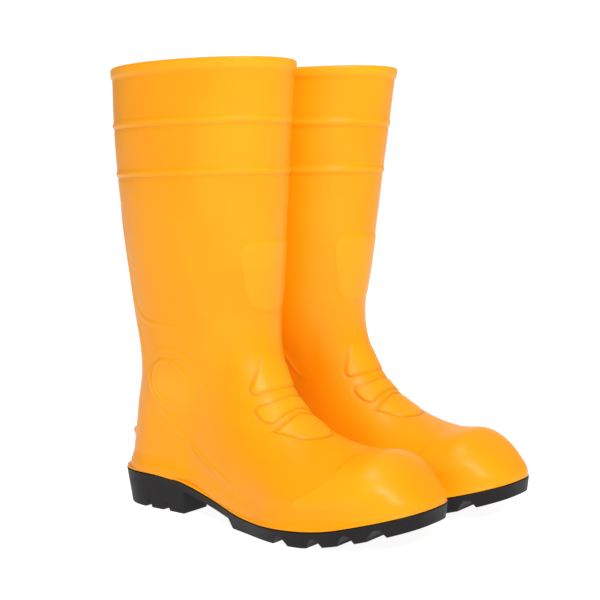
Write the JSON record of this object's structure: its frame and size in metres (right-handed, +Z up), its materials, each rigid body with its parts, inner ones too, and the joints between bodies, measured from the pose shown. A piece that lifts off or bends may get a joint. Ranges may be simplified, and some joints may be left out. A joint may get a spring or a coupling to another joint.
{
  "type": "deck boots",
  "caption": "Pair of knee-high moulded rubber deck boots with a rolled rim, knit lining, steel toe and midsole, and a cleated black sole with heel.",
  "frame": {"origin": "centre of the pair's bounding box, on the floor the boots stand on", "axes": "+Z up along the shafts, -Y to the toes, +X to the wearer's left; the left boot is on the +X side"},
  "size_m": [0.2458, 0.322, 0.368],
  "materials": {
    "upper_rubber": "semi-gloss moulded PVC, orange-yellow",
    "lining_knit": "off-white knitted nylon lining bonded inside",
    "sole_rubber": "matt black nitrile rubber and PVC",
    "toe_cap_steel": "dark lacquered pressed steel",
    "edge_strip": "matt soft strip on the cap rear edge",
    "midsole_steel": "cold-rolled stainless sheet",
    "heel_plug": "grey foamed PVC plug",
    "insole_foam": "dark open-cell foam",
    "insole_felt": "grey needled felt"
  },
  "bodies": {
    "right_boot": {"right_upper": "upper_rubber", "right_lining": "lining_knit", "right_outsole": "sole_rubber", "right_toe_cap": "toe_cap_steel", "right_toe_cap_strip": "edge_strip", "right_steel_midsole": "midsole_steel", "right_heel_filler": "heel_plug"},
    "left_boot": {"left_upper": "upper_rubber", "left_lining": "lining_knit", "left_outsole": "sole_rubber", "left_toe_cap": "toe_cap_steel", "left_toe_cap_strip": "edge_strip", "left_steel_midsole": "midsole_steel", "left_heel_filler": "heel_plug"},
    "right_insole": {"right_insole_foam": "insole_foam", "right_insole_cover": "insole_felt"},
    "left_insole": {"left_insole_foam": "insole_foam", "left_insole_cover": "insole_felt"}
  },
  "joints": [
    {"name": "left_boot_lift", "type": "slide", "parent": "right_boot", "child": "left_boot", "axis": [0, 0, 1], "range_m": [0, 0.45]},
    {"name": "right_insole_lift", "type": "hinge", "parent": "right_boot", "child": "right_insole", "pos_m": [-0.053, -0.1356, 0.0357], "axis": [1, 0, 0], "range_deg": [0, 6]},
    {"name": "left_insole_lift", "type": "hinge", "parent": "left_boot", "child": "left_insole", "pos_m": [0.053, -0.1476, 0.0357], "axis": [1, 0, 0], "range_deg": [0, 6]}
  ]
}
